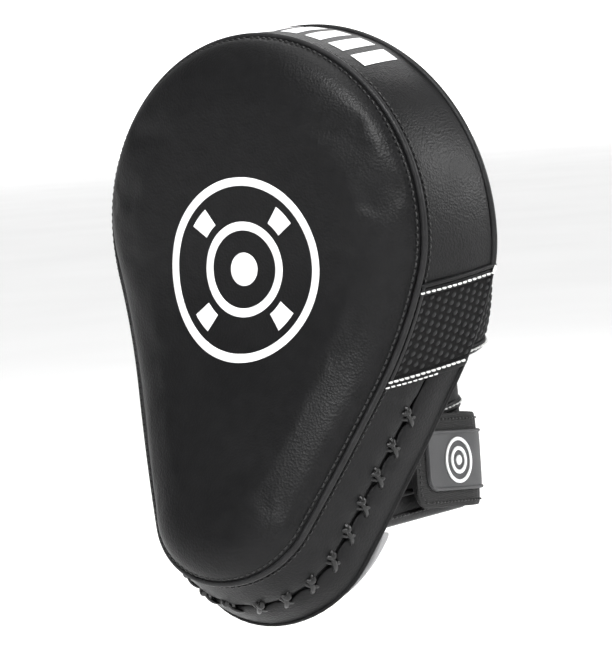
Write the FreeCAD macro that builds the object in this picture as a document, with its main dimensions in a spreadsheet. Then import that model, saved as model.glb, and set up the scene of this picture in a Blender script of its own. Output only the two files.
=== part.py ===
import FreeCAD, Part

import math
import os
import re

import Sketcher
from FreeCAD import Placement, Rotation, Vector

# Focus mitt, in millimetres.
# +Z is up, -Y is the side that is struck and +X is the side where the strap closes.
# The origin is where the palm rests: on the flat back of the pad, at the middle of its bend.
# Above the bend the pad is upright, and below it the pad curves forward.

DIMENSIONS = {
    # egg outline of the pad: two round ends joined by tangents, smaller at the seam than at the back
    "seam_top_radius": 87.2,
    "seam_top_height": 41.5,
    "seam_low_radius": 41.9,
    "seam_low_height": -76.2,
    "rear_top_radius": 96.1,
    "rear_top_height": 35.0,
    "rear_low_radius": 51.4,
    "rear_low_height": -99.7,
    "top_middle": -43.6,
    "low_middle": -87.0,
    "outline_front": -130.0,
    "outline_rear": 30.0,
    # depths of the layers, measured backwards from the flat back of the pad
    "crown_depth": -57.0,
    "seam_depth": -43.6,
    "strike_rear_depth": -30.0,
    "core_rear_depth": -14.0,
    "bend_angle": 24.3,
    "bend_radius": 155.6,
    "profile_reach": 190.0,
    "half_reach": 150.0,
    "low_reach": 180.0,
    # skins, piping and gaps
    "skin": 2.0,
    "gap": 0.2,
    "piping_lift": 1.5,
    "piping_width": 3.0,
    "crown_round": 11.0,
    # the mesh window in each side and the laced slit below it
    "mesh_top": 19.5,
    "mesh_bottom": -20.8,
    "hem_tilt": 7.5,
    "lace_depth": 24.0,
    "slit_width": 1.6,
    "lace_radius": 1.5,
    "lace_reach": 4.6,
    "lace_lift": 0.7,
    "lace_count": 18,
    "lace_pitch": 12.5,
    # pads on the back
    "heel_depth": 12.0,
    "heel_top": -95.8,
    "heel_foot": -136.0,
    "ball_height": -34.0,
    "ball_width": 32.0,
    "ball_rise": 20.0,
    "ball_reach": 24.0,
    # hood over the fingers
    "hood_height": 15.0,
    "hood_width": 86.0,
    "hood_reach": 50.0,
    "hood_rise": 85.0,
    "hood_mouth": -22.0,
    "hem_height": 5.0,
    "trim": 1.2,
    # cuff round the back of the wrist
    "cuff_corner_side": 33.0,
    "cuff_corner_rear": 27.0,
    "cuff_round": 16.0,
    "cuff_wall": 2.4,
    "cuff_top": -25.0,
    "cuff_bottom": -95.3,
    "cuff_hem_height": -48.6,
    "cuff_front": -75.0,
    "window_top": -62.0,
    "window_bottom": -82.3,
    "window_rear": -4.0,
    "window_front": -33.0,
    # strap over the cuff, tilted so that its closing end points up and forward
    "strap_inner": 3.8,
    "strap_outer": 7.0,
    "strap_tilt": -6.0,
    "strap_low": -91.5,
    "strap_high": -48.0,
    "tab_tip": -16.5,
    "tab_round": 9.0,
    "strap_cut": 0.4,
    "pad_thickness": 1.4,
    "patch_thickness": 1.2,
    "patch_border": 7.8,
    "patch_end": 44.0,
    "emblem_radius": 10.7,
    "emblem_line": 1.6,
    "emblem_lift": 0.5,
    "emblem_along": 15.7,
}

doc = FreeCAD.newDocument("focus_mitt")
sheet = doc.addObject("Spreadsheet::Sheet", "dims")
for row, (alias, number) in enumerate(DIMENSIONS.items(), start=1):
    sheet.set(f"A{row}", alias)
    sheet.set(f"B{row}", str(number))
    sheet.setAlias(f"B{row}", alias)
doc.recompute()


def value(expression):
    """Present value of an expression over the sheet's cells."""
    result = sheet.evalExpression(expression)
    return float(getattr(result, "Value", result))


def cells(text):
    """Expression over the sheet, written with the aliases alone."""
    return re.sub(r"[a-z_]+", lambda word: "dims." * (word[0] in DIMENSIONS) + word[0], text)


def bind(item, **expressions):
    for name, text in expressions.items():
        item.setExpression(name.replace("__", "."), cells(text))
    return item


# Sketches ------------------------------------------------------------------------------------

UPRIGHT = Rotation(Vector(1, 0, 0), 90)  # sketch x and y become X and Z
SIDEWAYS = Rotation(Vector(1, 1, 1), 120)  # sketch x and y become Y and Z


def tie(sketch, kind, *where):
    """Adds a constraint; a trailing expression names and drives it."""
    text = where[-1] if isinstance(where[-1], str) else None
    if text is None:
        return sketch.addConstraint(Sketcher.Constraint(kind, *where))
    index = sketch.addConstraint(Sketcher.Constraint(kind, *where[:-1], value(cells(text))))
    sketch.renameConstraint(index, f"size{index}")
    sketch.setExpression(f"Constraints.size{index}", cells(text))
    return index


def egg_sketch(name, depth, top_radius, top_height, low_radius, low_height):
    """Upright outline of two arcs and their two tangents, at a depth along Y."""
    sketch = doc.addObject("Sketcher::SketchObject", name)
    sketch.Placement = Placement(Vector(), UPRIGHT)
    bind(sketch, Placement__Base__y=depth)
    big, small = value(cells(top_radius)), value(cells(low_radius))
    high, low = value(cells(top_height)), value(cells(low_height))
    lean = math.asin((big - small) / (high - low))
    side, drop = math.cos(lean), -math.sin(lean)
    normal = Vector(0, 0, 1)
    top = Part.ArcOfCircle(Part.Circle(Vector(0, high, 0), normal, big), -lean, math.pi + lean)
    bottom = Part.ArcOfCircle(Part.Circle(Vector(0, low, 0), normal, small), math.pi + lean, 2 * math.pi - lean)
    right = Part.LineSegment(Vector(small * side, low + small * drop, 0), Vector(big * side, high + big * drop, 0))
    left = Part.LineSegment(Vector(-big * side, high + big * drop, 0), Vector(-small * side, low + small * drop, 0))
    top, left, bottom, right = (sketch.addGeometry(part, False) for part in (top, left, bottom, right))
    tie(sketch, "Tangent", top, 2, left, 1)
    tie(sketch, "Tangent", left, 2, bottom, 1)
    tie(sketch, "Tangent", bottom, 2, right, 1)
    tie(sketch, "Tangent", right, 2, top, 1)
    for arc, height, radius in ((top, top_height, top_radius), (bottom, low_height, low_radius)):
        tie(sketch, "PointOnObject", arc, 3, -2)
        tie(sketch, "DistanceY", -1, 1, arc, 3, height)
        tie(sketch, "Radius", arc, radius)
    return sketch


def bend_sketch(name, front, rear):
    """Side profile of a layer that is upright above the bend and curves forward below it."""
    sketch = doc.addObject("Sketcher::SketchObject", name)
    sketch.Placement = Placement(Vector(), SIDEWAYS)
    bind(sketch, Placement__Base__y=front)
    angle = math.radians(value("dims.bend_angle"))
    radius = value("dims.bend_radius")
    reach = value("dims.profile_reach")
    start = radius * math.tan(angle / 2)
    end = Vector(radius * (math.cos(angle) - 1), start - radius * math.sin(angle), 0)
    foot = Vector(end.x - (reach + end.y) * math.tan(angle), -reach, 0)
    thick = Vector(value(cells(rear)) - value(cells(front)), 0, 0)
    normal = Vector(0, 0, 1)
    lines = []
    for shift in (Vector(), thick):
        circle = Part.Circle(Vector(-radius, start, 0) + shift, normal, radius)
        upper = Part.LineSegment(Vector(0, start, 0) + shift, Vector(0, reach, 0) + shift)
        lower = Part.LineSegment(foot + shift, end + shift)
        parts = (upper, Part.ArcOfCircle(circle, -angle, 0), lower)
        upper, arc, lower = (sketch.addGeometry(part, False) for part in parts)
        tie(sketch, "Tangent", arc, 2, upper, 1)
        tie(sketch, "Tangent", arc, 1, lower, 2)
        tie(sketch, "Vertical", upper)
        tie(sketch, "Radius", arc, "bend_radius")
        tie(sketch, "DistanceY", -1, 1, arc, 3, "bend_radius * tan( bend_angle * 0.5 )")
        tie(sketch, "DistanceY", -1, 1, upper, 2, "profile_reach")
        tie(sketch, "DistanceY", -1, 1, lower, 1, "-1 * profile_reach")
        lines.append((upper, lower))
    (front_upper, front_lower), (rear_upper, rear_lower) = lines
    tie(sketch, "PointOnObject", front_upper, 2, -2)
    tie(sketch, "DistanceX", front_upper, 2, rear_upper, 2, f"( {rear} ) - ( {front} )")
    tie(sketch, "DistanceX", front_lower, 1, rear_lower, 1, f"( {rear} ) - ( {front} )")
    tie(sketch, "DistanceX", front_lower, 1, -1, 1, "bend_radius * tan( bend_angle * 0.5 ) * sin( bend_angle )"
        " + ( profile_reach - bend_radius * tan( bend_angle * 0.5 ) * cos( bend_angle ) ) * tan( bend_angle )")
    for first, second in ((front_upper, rear_upper), (front_lower, rear_lower)):
        place = 2 if first == front_upper else 1
        ends = [sketch.getPoint(index, place) for index in (first, second)]
        cap = sketch.addGeometry(Part.LineSegment(*ends), False)
        tie(sketch, "Coincident", cap, 1, first, place)
        tie(sketch, "Coincident", cap, 2, second, place)
    return sketch


# Solids from the sketches ----------------------------------------------------------------------


def envelope(name, grow):
    """Whole side wall of the pad, moved outwards by grow, as a ruled solid between two outlines."""
    ends = []
    for end in ("front", "rear"):
        radii = []
        for part, middle in (("top", "top_middle"), ("low", "low_middle")):
            ratio = f"( outline_{end} - {middle} ) / -1 / seam_depth"
            for what in ("radius", "height"):
                seam, rear = f"seam_{part}_{what}", f"rear_{part}_{what}"
                radii.append(f"{seam} + ( {rear} - {seam} ) * {ratio}")
        radii[0] += f" + {grow}"
        radii[2] += f" + {grow}"
        ends.append(egg_sketch(f"{name}_{end}_outline", f"outline_{end}", *radii))
    loft = doc.addObject("Part::Loft", name)
    loft.Sections = ends
    loft.Solid = True
    loft.Ruled = True
    return loft


def extrude(name, sketch, length, both=True):
    solid = doc.addObject("Part::Extrusion", name)
    solid.Base = sketch
    solid.DirMode = "Normal"
    solid.Solid = True
    solid.Symmetric = both
    return bind(solid, LengthFwd=length)


def layer(name, front, rear):
    return extrude(name, bend_sketch(f"{name}_profile", front, rear), "half_reach * 2")


def block(name, low, high, tilt="0 * hem_tilt"):
    """Box between two heights, each given at Y = 0, tilted up towards the back."""
    box = doc.addObject("Part::Box", name)
    box.Placement = Placement(Vector(), Rotation(Vector(1, 0, 0), value(cells(tilt))))
    bind(box, Length="half_reach * 2", Width="half_reach * 2", Height=f"( ( {high} ) - ( {low} ) ) * cos( {tilt} )")
    bind(box, Placement__Base__x="-1 * half_reach", Placement__Rotation__Angle=tilt)
    bind(box, Placement__Base__y="-1 * half_reach", Placement__Base__z=f"{low} - half_reach * tan( {tilt} )")
    return box


def side_box(name, low_x, high_x, low_y, high_y):
    """Upright box over the pad's whole height."""
    box = doc.addObject("Part::Box", name)
    bind(box, Length=f"( {high_x} ) - ( {low_x} )", Width=f"( {high_y} ) - ( {low_y} )", Height="half_reach * 2")
    return bind(box, Placement__Base__x=low_x, Placement__Base__y=low_y, Placement__Base__z="-1 * half_reach")


def cut(name, base, tool):
    result = doc.addObject("Part::Cut", name)
    result.Base = base
    result.Tool = tool
    return result


def common(name, *shapes):
    result = doc.addObject("Part::MultiCommon", name)
    result.Shapes = list(shapes)
    return result


nodes = []


def node(name, item):
    """Keeps an object as the sub-part of that name."""
    item.Label = name
    nodes.append(item)
    return item


# Pad: foam layers in a sewn skin ---------------------------------------------------------------

NOTHING = "0 * skin"
outer_wall = envelope("outer_wall", NOTHING)
inner_wall = envelope("inner_wall", "-1 * skin")
foam_wall = envelope("foam_wall", "-1 * skin - gap")
piping_wall = envelope("piping_wall", "piping_lift")
above_mesh = block("above_mesh", "mesh_top", "half_reach", "hem_tilt")
mesh_band = block("mesh_band", "mesh_bottom", "mesh_top", "hem_tilt")
below_mesh = block("below_mesh", "-1 * low_reach", "mesh_bottom", "hem_tilt")
right_half = side_box("right_half", NOTHING, "half_reach", "-1 * half_reach", "half_reach")
left_half = side_box("left_half", "-1 * half_reach", NOTHING, "-1 * half_reach", "half_reach")


def crowned(name, wall, front, rear, rounding):
    """Layer whose front rim is rounded all the way round."""
    solid = common(f"{name}_square", wall, layer(f"{name}_layer", front, rear))
    doc.recompute()
    rim = []
    for number, edge in enumerate(solid.Shape.Edges, start=1):
        middle = edge.valueAt((edge.FirstParameter + edge.LastParameter) / 2)
        crosses = abs(middle.x) < 1 and abs(edge.tangentAt(edge.FirstParameter).x) > 0.99
        if abs(middle.y - bend_depth(middle.z) - value(cells(front))) < 0.1 and not crosses:
            rim.append((number, value(cells(rounding)), value(cells(rounding))))
    fillet = doc.addObject("Part::Fillet", name)
    fillet.Base = solid
    fillet.Edges = rim
    return fillet


def bend_depth(height):
    """Y of the flat back of the pad at a height."""
    radius = value("dims.bend_radius")
    angle = math.radians(value("dims.bend_angle"))
    start = radius * math.tan(angle / 2)
    end = start - radius * math.sin(angle)
    if height >= start:
        return 0.0
    if height >= end:
        return math.sqrt(radius ** 2 - (start - height) ** 2) - radius
    return radius * (math.cos(angle) - 1) - (end - height) * math.tan(angle)


face_outside = crowned("face_outside", outer_wall, "crown_depth", "seam_depth", "crown_round")
face_inside = crowned("face_inside", inner_wall, "crown_depth + skin", "seam_depth + skin", "crown_round - skin")
node("face_cover", cut("face_cover_shell", face_outside, face_inside))
node("strike_foam", crowned("strike_foam_block", foam_wall, "crown_depth + skin + gap",
                            "strike_rear_depth", "crown_round - skin - gap"))
for name, front, rear in (
    ("core_foam", "strike_rear_depth + gap", "core_rear_depth"),
    ("back_foam", "core_rear_depth + gap", "-1 * skin - gap"),
    ("back_panel", "-1 * skin", NOTHING),
):
    node(name, common(f"{name}_block", foam_wall, layer(f"{name}_layer", front, rear)))

wall_skin = cut("wall_skin", outer_wall, inner_wall)
piping_skin = cut("piping_skin", piping_wall, outer_wall)
gusset_layer = layer("gusset_layer", "seam_depth", NOTHING)
front_strip = layer("front_strip", "seam_depth", "seam_depth + lace_depth - slit_width * 0.5")
rear_strip = layer("rear_strip", "seam_depth + lace_depth + slit_width * 0.5", NOTHING)
node("upper_gusset", common("upper_gusset_wall", wall_skin, gusset_layer, above_mesh))
node("mesh_gusset_right", common("mesh_right_wall", wall_skin, gusset_layer, mesh_band, right_half))
node("mesh_gusset_left", common("mesh_left_wall", wall_skin, gusset_layer, mesh_band, left_half))
node("lower_gusset_front", common("lower_front_wall", wall_skin, front_strip, below_mesh))
node("lower_gusset_rear", common("lower_rear_wall", wall_skin, rear_strip, below_mesh))
face_seam = layer("face_seam", "seam_depth - piping_width * 0.5", "seam_depth + piping_width * 0.5")
rear_seam = layer("rear_seam", "-1 * piping_width", NOTHING)
node("face_piping", common("face_piping_ring", piping_skin, face_seam))
node("rear_piping", common("rear_piping_ring", piping_skin, rear_seam, above_mesh))

# Lace: over the slit, down through the skin, forward inside it and up again ----------------------


def wall_point(along, depth, lift):
    """Point on the side wall: at the place that lies at a distance along the seam's outline from its
    lowest point, at a depth behind the seam."""
    seam = value("dims.seam_depth")
    low_arc = straight = None
    y = value("dims.low_middle")
    for _ in range(9):
        sizes = []
        for part in ("low", "top"):
            ratio = (y - value(f"dims.{part}_middle")) / -seam
            for what in ("radius", "height"):
                first, last = (value(f"dims.{end}_{part}_{what}") for end in ("seam", "rear"))
                sizes.append(first + (last - first) * (0 if low_arc is None else ratio))
        radius, height, big, high = sizes
        lean = math.asin((big - radius) / (high - height))
        turn = math.pi / 2 - lean
        if low_arc is None:
            low_arc, straight = radius * turn, (high - height) * math.cos(lean)
            continue
        angle = turn * min(abs(along) / low_arc, 1)
        share = max(abs(along) - low_arc, 0) / straight
        reach = radius + (big - radius) * share + lift
        x = reach * math.sin(angle)
        z = height + (high - height) * share - reach * math.cos(angle)
        y = bend_depth(z) + seam + depth
    return Vector(math.copysign(x, along), y, z)


def rounded_path(points, radius):
    """Straight runs joined by tangent arcs."""
    edges = []
    start = points[0]
    for before, corner, after in zip(points, points[1:], points[2:]):
        back, ahead = (before - corner).normalize(), (after - corner).normalize()
        half = back.getAngle(ahead) / 2
        reach = radius / math.tan(half)
        first, last = corner + back * reach, corner + ahead * reach
        bisector = (back + ahead).normalize()
        middle = corner + bisector * (radius / math.sin(half) - radius)
        edges.append(Part.LineSegment(start, first).toShape())
        edges.append(Part.Arc(first, middle, last).toShape())
        start = last
    edges.append(Part.LineSegment(start, points[-1]).toShape())
    return Part.Wire(edges)


def lace_shape():
    radius = value("dims.lace_radius")
    slit, reach = value("dims.lace_depth"), value("dims.lace_reach")
    over = radius + value("dims.lace_lift")
    under = -radius - value("dims.skin") - value("dims.lace_lift")
    count = int(value("dims.lace_count"))
    points = []
    for number in range(count):
        along = (number - (count - 1) / 2) * value("dims.lace_pitch")
        for depth, lift in ((-reach, under), (-reach, over), (reach, over), (reach, under)):
            points.append(wall_point(along, slit + depth, lift))
    path = rounded_path(points, radius * 1.4)
    start = path.Edges[0]
    ring = Part.Circle(start.valueAt(start.FirstParameter), start.tangentAt(start.FirstParameter), radius)
    return path.makePipeShell([Part.Wire(ring.toShape())], True, False)


lace = doc.addObject("Part::Feature", "lace")
lace.Shape = lace_shape()
lace.Placement = Placement()
node("lace_cord", lace)

# Pads on the back of the mitt ----------------------------------------------------------------------

behind_pad = layer("behind_pad", "gap", "half_reach")
heel_layer = layer("heel_layer", "gap", "heel_depth")
below_cuff = block("below_cuff", "heel_foot", "heel_top")
node("heel_pad", common("heel_block", inner_wall, heel_layer, below_cuff))


def ellipsoid(name, height, width, depth, rise, grow=NOTHING):
    """Ellipsoid turned so that its seam faces forward, away from what is cut from it."""
    solid = doc.addObject("Part::Ellipsoid", name)
    solid.Angle1 = -90
    solid.Placement = Placement(Vector(), Rotation(Vector(0, 0, 1), -90))
    bind(solid, Radius1=f"{rise} + {grow}", Radius2=f"{depth} + {grow}", Radius3=f"{width} + {grow}")
    return bind(solid, Placement__Base__z=height)


def ball(name, grow):
    """Palm ball, centred on the back of the pad at its own height."""
    solid = ellipsoid(name, "ball_height", "ball_width", "ball_reach", "ball_rise", grow)
    solid.Placement.Base.y = bend_depth(value("dims.ball_height"))
    return solid


ball_outside = ball("ball_outside", NOTHING)
ball_inside = ball("ball_inside", "-1 * skin")
node("palm_ball", common("palm_ball_block", ball("ball_core", "-1 * skin - gap"), behind_pad))
node("palm_ball_cover", common("palm_ball_shell", cut("ball_shell", ball_outside, ball_inside), behind_pad))

# Hood over the fingers -----------------------------------------------------------------------------


def hood_ellipsoid(name, grow):
    return ellipsoid(name, "hood_height", "hood_width", "hood_reach", "hood_rise", grow)


def hood_wall(name, outside, inside):
    """Half-dome shell between two offsets of the hood."""
    dome = common(f"{name}_dome", hood_ellipsoid(f"{name}_outside", outside), behind_pad)
    return cut(name, dome, hood_ellipsoid(f"{name}_inside", inside))


hood_skin = hood_wall("hood_skin", NOTHING, "-1 * skin")
lining_skin = hood_wall("lining_skin", "-1 * skin - gap", "-2 * skin")
hood_hem_band = block("hood_hem_band", "hood_mouth", "hood_mouth + hem_height", "hem_tilt")
above_mouth = block("above_mouth", "hood_mouth", "half_reach", "hem_tilt")
node("finger_hood", common("hood_top", hood_skin, above_mesh))
node("hood_mesh", common("hood_mesh_wall", hood_skin, mesh_band))
hem_room = common("hem_room", hood_hem_band, behind_pad)
hem_slice = common("hem_slice", hem_room, hood_ellipsoid("hem_outside", "trim"))
node("hood_hem", cut("hood_hem_strip", hem_slice, hood_ellipsoid("hem_inside", NOTHING)))
node("hood_lining", common("hood_lining_wall", lining_skin, above_mouth))

# Cuff round the back of the wrist ----------------------------------------------------------------


def cuff_sketch(name, grow):
    """Plan of the cuff, moved outwards by grow: a rectangle with both rear corners rounded."""
    sketch = doc.addObject("Sketcher::SketchObject", name)
    side, rear = value("dims.cuff_corner_side"), value("dims.cuff_corner_rear")
    front = value("dims.cuff_front")
    radius = value(cells(f"cuff_round + {grow}"))
    normal = Vector(0, 0, 1)
    right = Part.LineSegment(Vector(side + radius, front, 0), Vector(side + radius, rear, 0))
    right_arc = Part.ArcOfCircle(Part.Circle(Vector(side, rear, 0), normal, radius), 0, math.pi / 2)
    back = Part.LineSegment(Vector(side, rear + radius, 0), Vector(-side, rear + radius, 0))
    left_arc = Part.ArcOfCircle(Part.Circle(Vector(-side, rear, 0), normal, radius), math.pi / 2, math.pi)
    left = Part.LineSegment(Vector(-side - radius, rear, 0), Vector(-side - radius, front, 0))
    close = Part.LineSegment(Vector(-side - radius, front, 0), Vector(side + radius, front, 0))
    outline = [sketch.addGeometry(part, False) for part in (right, right_arc, back, left_arc, left, close)]
    right, right_arc, back, left_arc, left, close = outline
    for first, second in zip(outline[:4], outline[1:5]):
        tie(sketch, "Tangent", first, 2, second, 1)
    tie(sketch, "Coincident", left, 2, close, 1)
    tie(sketch, "Coincident", close, 2, right, 1)
    tie(sketch, "Vertical", right)
    tie(sketch, "Vertical", left)
    tie(sketch, "Horizontal", close)
    tie(sketch, "DistanceY", -1, 1, close, 1, "cuff_front")
    tie(sketch, "DistanceX", -1, 1, right_arc, 3, "cuff_corner_side")
    tie(sketch, "DistanceX", left_arc, 3, -1, 1, "cuff_corner_side")
    tie(sketch, "DistanceY", -1, 1, right_arc, 3, "cuff_corner_rear")
    tie(sketch, "Radius", right_arc, f"cuff_round + {grow}")
    tie(sketch, "Radius", left_arc, f"cuff_round + {grow}")
    return sketch


def cuff_wall(name, inside, outside):
    """Upright sleeve between two offsets of the cuff's plan."""
    reach = "half_reach * 2"
    sleeve = cut(
        name,
        extrude(f"{name}_outside", cuff_sketch(f"{name}_outside_plan", outside), reach),
        extrude(f"{name}_inside", cuff_sketch(f"{name}_inside_plan", inside), reach),
    )
    return common(f"{name}_behind", sleeve, behind_pad)


def window_sketch():
    """Triangle in the cuff's right side, along the pad's edge."""
    sketch = doc.addObject("Sketcher::SketchObject", "window_outline")
    sketch.Placement = Placement(Vector(), SIDEWAYS)
    names = (("window_rear", "window_top"), ("window_front", "window_bottom"), ("window_rear", "window_bottom"))
    corners = [Vector(value(cells(across)), value(cells(up)), 0) for across, up in names]
    lines = []
    for first, second in zip(corners, corners[1:] + corners[:1]):
        lines.append(sketch.addGeometry(Part.LineSegment(first, second), False))
    for line, after, (across, up) in zip(lines, lines[1:] + lines[:1], names):
        tie(sketch, "Coincident", line, 2, after, 1)
        tie(sketch, "DistanceX", -1, 1, line, 1, across)
        tie(sketch, "DistanceY", -1, 1, line, 1, up)
    return sketch


window = extrude("window", window_sketch(), "half_reach", both=False)
below_hood = block("below_hood", "-1 * low_reach", "cuff_top", "hem_tilt")
above_heel = block("above_heel", "cuff_bottom", "half_reach")
cuff_skin = common("cuff_skin", cuff_wall("cuff_sleeve", "-1 * cuff_wall", NOTHING), below_hood, above_heel)
node("cuff", cut("cuff_with_windows", cuff_skin, window))
cuff_trim = cuff_wall("cuff_trim", NOTHING, "trim")
top_hem = block("top_hem", "cuff_hem_height - hem_height", "cuff_hem_height", "hem_tilt")
bottom_hem = block("bottom_hem", "cuff_bottom", "cuff_bottom + hem_height")
node("cuff_hem", common("cuff_hem_strip", cuff_trim, top_hem))
node("cuff_band", common("cuff_band_strip", cuff_trim, bottom_hem))

# Strap: sewn to the cuff's left side, round its back, closed by hook and loop on its right side ----


def strap_strip(name, border, tip, end):
    """Block that bounds the strap's right end, with both corners of its tip rounded."""
    box = doc.addObject("Part::Box", f"{name}_box")
    box.Placement = Placement(Vector(), Rotation(Vector(1, 0, 0), value("dims.strap_tilt")))
    bind(box, Placement__Rotation__Angle="strap_tilt", Length="half_reach")
    bind(box, Width=f"( {end} - {tip} ) / cos( strap_tilt )")
    bind(box, Height=f"( strap_high - strap_low ) * cos( strap_tilt ) - 2 * {border}")
    bind(box, Placement__Base__y=tip)
    bind(box, Placement__Base__z=f"strap_low + ( {border} ) / cos( strap_tilt ) + ( {tip} ) * tan( strap_tilt )")
    doc.recompute()
    tips = []
    across = box.Placement.Rotation.multVec(Vector(0, 1, 0))
    for number, edge in enumerate(box.Shape.Edges, start=1):
        middle = (edge.Vertexes[0].Point + edge.Vertexes[1].Point) * 0.5
        if edge.tangentAt(0).cross(Vector(1, 0, 0)).Length < 0.01 and (middle - box.Placement.Base) * across < 1:
            tips.append((number, value("dims.tab_round"), value("dims.tab_round")))
    fillet = doc.addObject("Part::Fillet", name)
    fillet.Base = box
    fillet.Edges = tips
    return fillet


strap_wall = cuff_wall("strap_wall", "strap_inner", "strap_outer")
root_wall = cuff_wall("root_wall", "trim + gap", "strap_outer")
strap_band = block("strap_band", "strap_low", "strap_high", "strap_tilt")
rear_span = side_box("rear_span", "-1 * cuff_corner_side", "cuff_corner_side", NOTHING, "half_reach")
root_span = side_box("root_span", "-1 * half_reach", "-1 * cuff_corner_side - strap_cut", "tab_tip", "half_reach")
tab_span = side_box("tab_span", "cuff_corner_side + strap_cut", "half_reach", "-1 * half_reach", "half_reach")
flat_span = side_box("flat_span", NOTHING, "half_reach", "window_rear + gap", "cuff_corner_rear")
node("strap_root", common("strap_root_end", root_wall, strap_band, root_span))
node("wrist_strap", common("strap_rear", strap_wall, strap_band, rear_span))
tab_strip = strap_strip("tab_strip", "gap", "tab_tip", "half_reach")
node("strap_tab", common("tab_end", strap_wall, tab_strip, tab_span))
hook_wall = cuff_wall("hook_wall", "strap_inner - gap - pad_thickness", "strap_inner - gap")
loop_wall = cuff_wall("loop_wall", "gap * 0.5", "gap * 0.5 + pad_thickness")
hook_strip = strap_strip("hook_strip", "patch_border", "tab_tip + patch_border * 0.5", "half_reach")
node("hook_pad", common("hook_face", hook_wall, hook_strip, flat_span))
node("loop_pad", common("loop_face", loop_wall, hook_strip, flat_span))
patch_wall = cuff_wall("patch_wall", "strap_outer", "strap_outer + patch_thickness")
patch_strip = strap_strip("patch_strip", "patch_border", "tab_tip + patch_border", "patch_end")
node("strap_patch", common("patch_face", patch_wall, patch_strip, tab_span))


def emblem_ring(name, radius):
    """Cylinder across the patch, centred on the flat part of the strap's end."""
    disc = doc.addObject("Part::Cylinder", name)
    disc.Placement = Placement(Vector(), Rotation(Vector(0, 1, 0), 90))
    bind(disc, Radius=radius, Height="half_reach", Placement__Base__y="emblem_along")
    return bind(disc, Placement__Base__z="( strap_low + strap_high ) * 0.5 + emblem_along * tan( strap_tilt )")


emblem_wall = cuff_wall("emblem_wall", "strap_outer + patch_thickness", "strap_outer + patch_thickness + emblem_lift")
ring = cut("emblem_band", emblem_ring("emblem_disc", "emblem_radius"),
           emblem_ring("emblem_hole", "emblem_radius - emblem_line"))
node("patch_emblem", common("emblem_face", emblem_wall, ring))

# Check and write the parts ------------------------------------------------------------------------

doc.recompute()
for item in doc.Objects:
    if "Invalid" in item.State or "Error" in item.State:
        raise RuntimeError(f"{item.Label} failed: {item.State}")
for item in nodes:
    if item.Shape.isNull() or not item.Shape.isValid() or not item.Shape.Solids:
        raise RuntimeError(f"{item.Label} has no valid solid")
os.makedirs("parts", exist_ok=True)
for item in nodes:
    item.Shape.exportStep(f"parts/{item.Label}.step")
    print(item.Label, len(item.Shape.Solids), round(item.Shape.Volume / 1000, 2))
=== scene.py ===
import math

import bmesh
import bpy
import numpy as np
from mathutils import Matrix, Vector
from mathutils.bvhtree import BVHTree
from mathutils.kdtree import KDTree


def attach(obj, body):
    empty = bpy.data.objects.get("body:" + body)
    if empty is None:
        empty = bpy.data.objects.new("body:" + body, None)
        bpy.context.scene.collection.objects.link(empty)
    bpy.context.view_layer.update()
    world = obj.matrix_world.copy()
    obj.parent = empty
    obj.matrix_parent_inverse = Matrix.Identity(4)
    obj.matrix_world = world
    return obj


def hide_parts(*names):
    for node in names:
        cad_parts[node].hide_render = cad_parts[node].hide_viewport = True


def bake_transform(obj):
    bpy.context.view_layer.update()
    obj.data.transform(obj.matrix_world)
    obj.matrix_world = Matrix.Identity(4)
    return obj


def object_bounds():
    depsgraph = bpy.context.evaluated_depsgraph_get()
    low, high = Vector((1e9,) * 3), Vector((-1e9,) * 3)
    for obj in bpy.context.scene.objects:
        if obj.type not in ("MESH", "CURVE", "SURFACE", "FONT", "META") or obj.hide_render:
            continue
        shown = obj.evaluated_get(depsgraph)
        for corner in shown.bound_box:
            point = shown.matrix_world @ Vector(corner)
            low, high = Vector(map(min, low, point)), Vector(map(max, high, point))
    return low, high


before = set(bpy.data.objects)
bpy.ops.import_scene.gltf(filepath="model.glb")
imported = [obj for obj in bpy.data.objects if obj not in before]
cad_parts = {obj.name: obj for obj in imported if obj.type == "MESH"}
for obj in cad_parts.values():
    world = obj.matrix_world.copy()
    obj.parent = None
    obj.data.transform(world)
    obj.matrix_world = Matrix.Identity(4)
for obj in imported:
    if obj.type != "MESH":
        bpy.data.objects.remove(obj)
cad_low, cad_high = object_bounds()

MM = 0.001

# The pad's outline is two round ends and their tangents, and grows from the seam to the back.
# Each pair is the size at the seam and the size at the flat back, in metres.
TOP_RADIUS = (87.2 * MM, 96.1 * MM)
TOP_HEIGHT = (41.5 * MM, 35.0 * MM)
LOW_RADIUS = (41.9 * MM, 51.4 * MM)
LOW_HEIGHT = (-76.2 * MM, -99.7 * MM)
TOP_MIDDLE, LOW_MIDDLE = -43.6 * MM, -87.0 * MM
SEAM = -43.6 * MM
CROWN = 13.4 * MM
BEND_ANGLE, BEND_RADIUS = math.radians(24.3), 155.6 * MM
HEM_SLOPE = math.tan(math.radians(7.5))
SEWN_LEVEL = 0.3 * MM
MESH_TOP, MESH_BOTTOM = 19.5 * MM, -20.8 * MM
LACE_DEPTH = SEAM + 24 * MM
LACE_PITCH, LACE_COUNT = 12.5 * MM, 18
HOOD_CENTRE, HOOD_SIZE = 15 * MM, (86 * MM, 50 * MM, 85 * MM)
CUFF_SIDE, CUFF_REAR, CUFF_ROUND = 33 * MM, 27 * MM, 16 * MM
CUFF_TOP, CUFF_HEM, CUFF_BOTTOM = -25.0 * MM, -48.6 * MM, -95.3 * MM
STRAP_SLOPE = math.tan(math.radians(-6))
STRAP_LOW, STRAP_HIGH = -91.5 * MM, -48.0 * MM

# Shape of the pad


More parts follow.
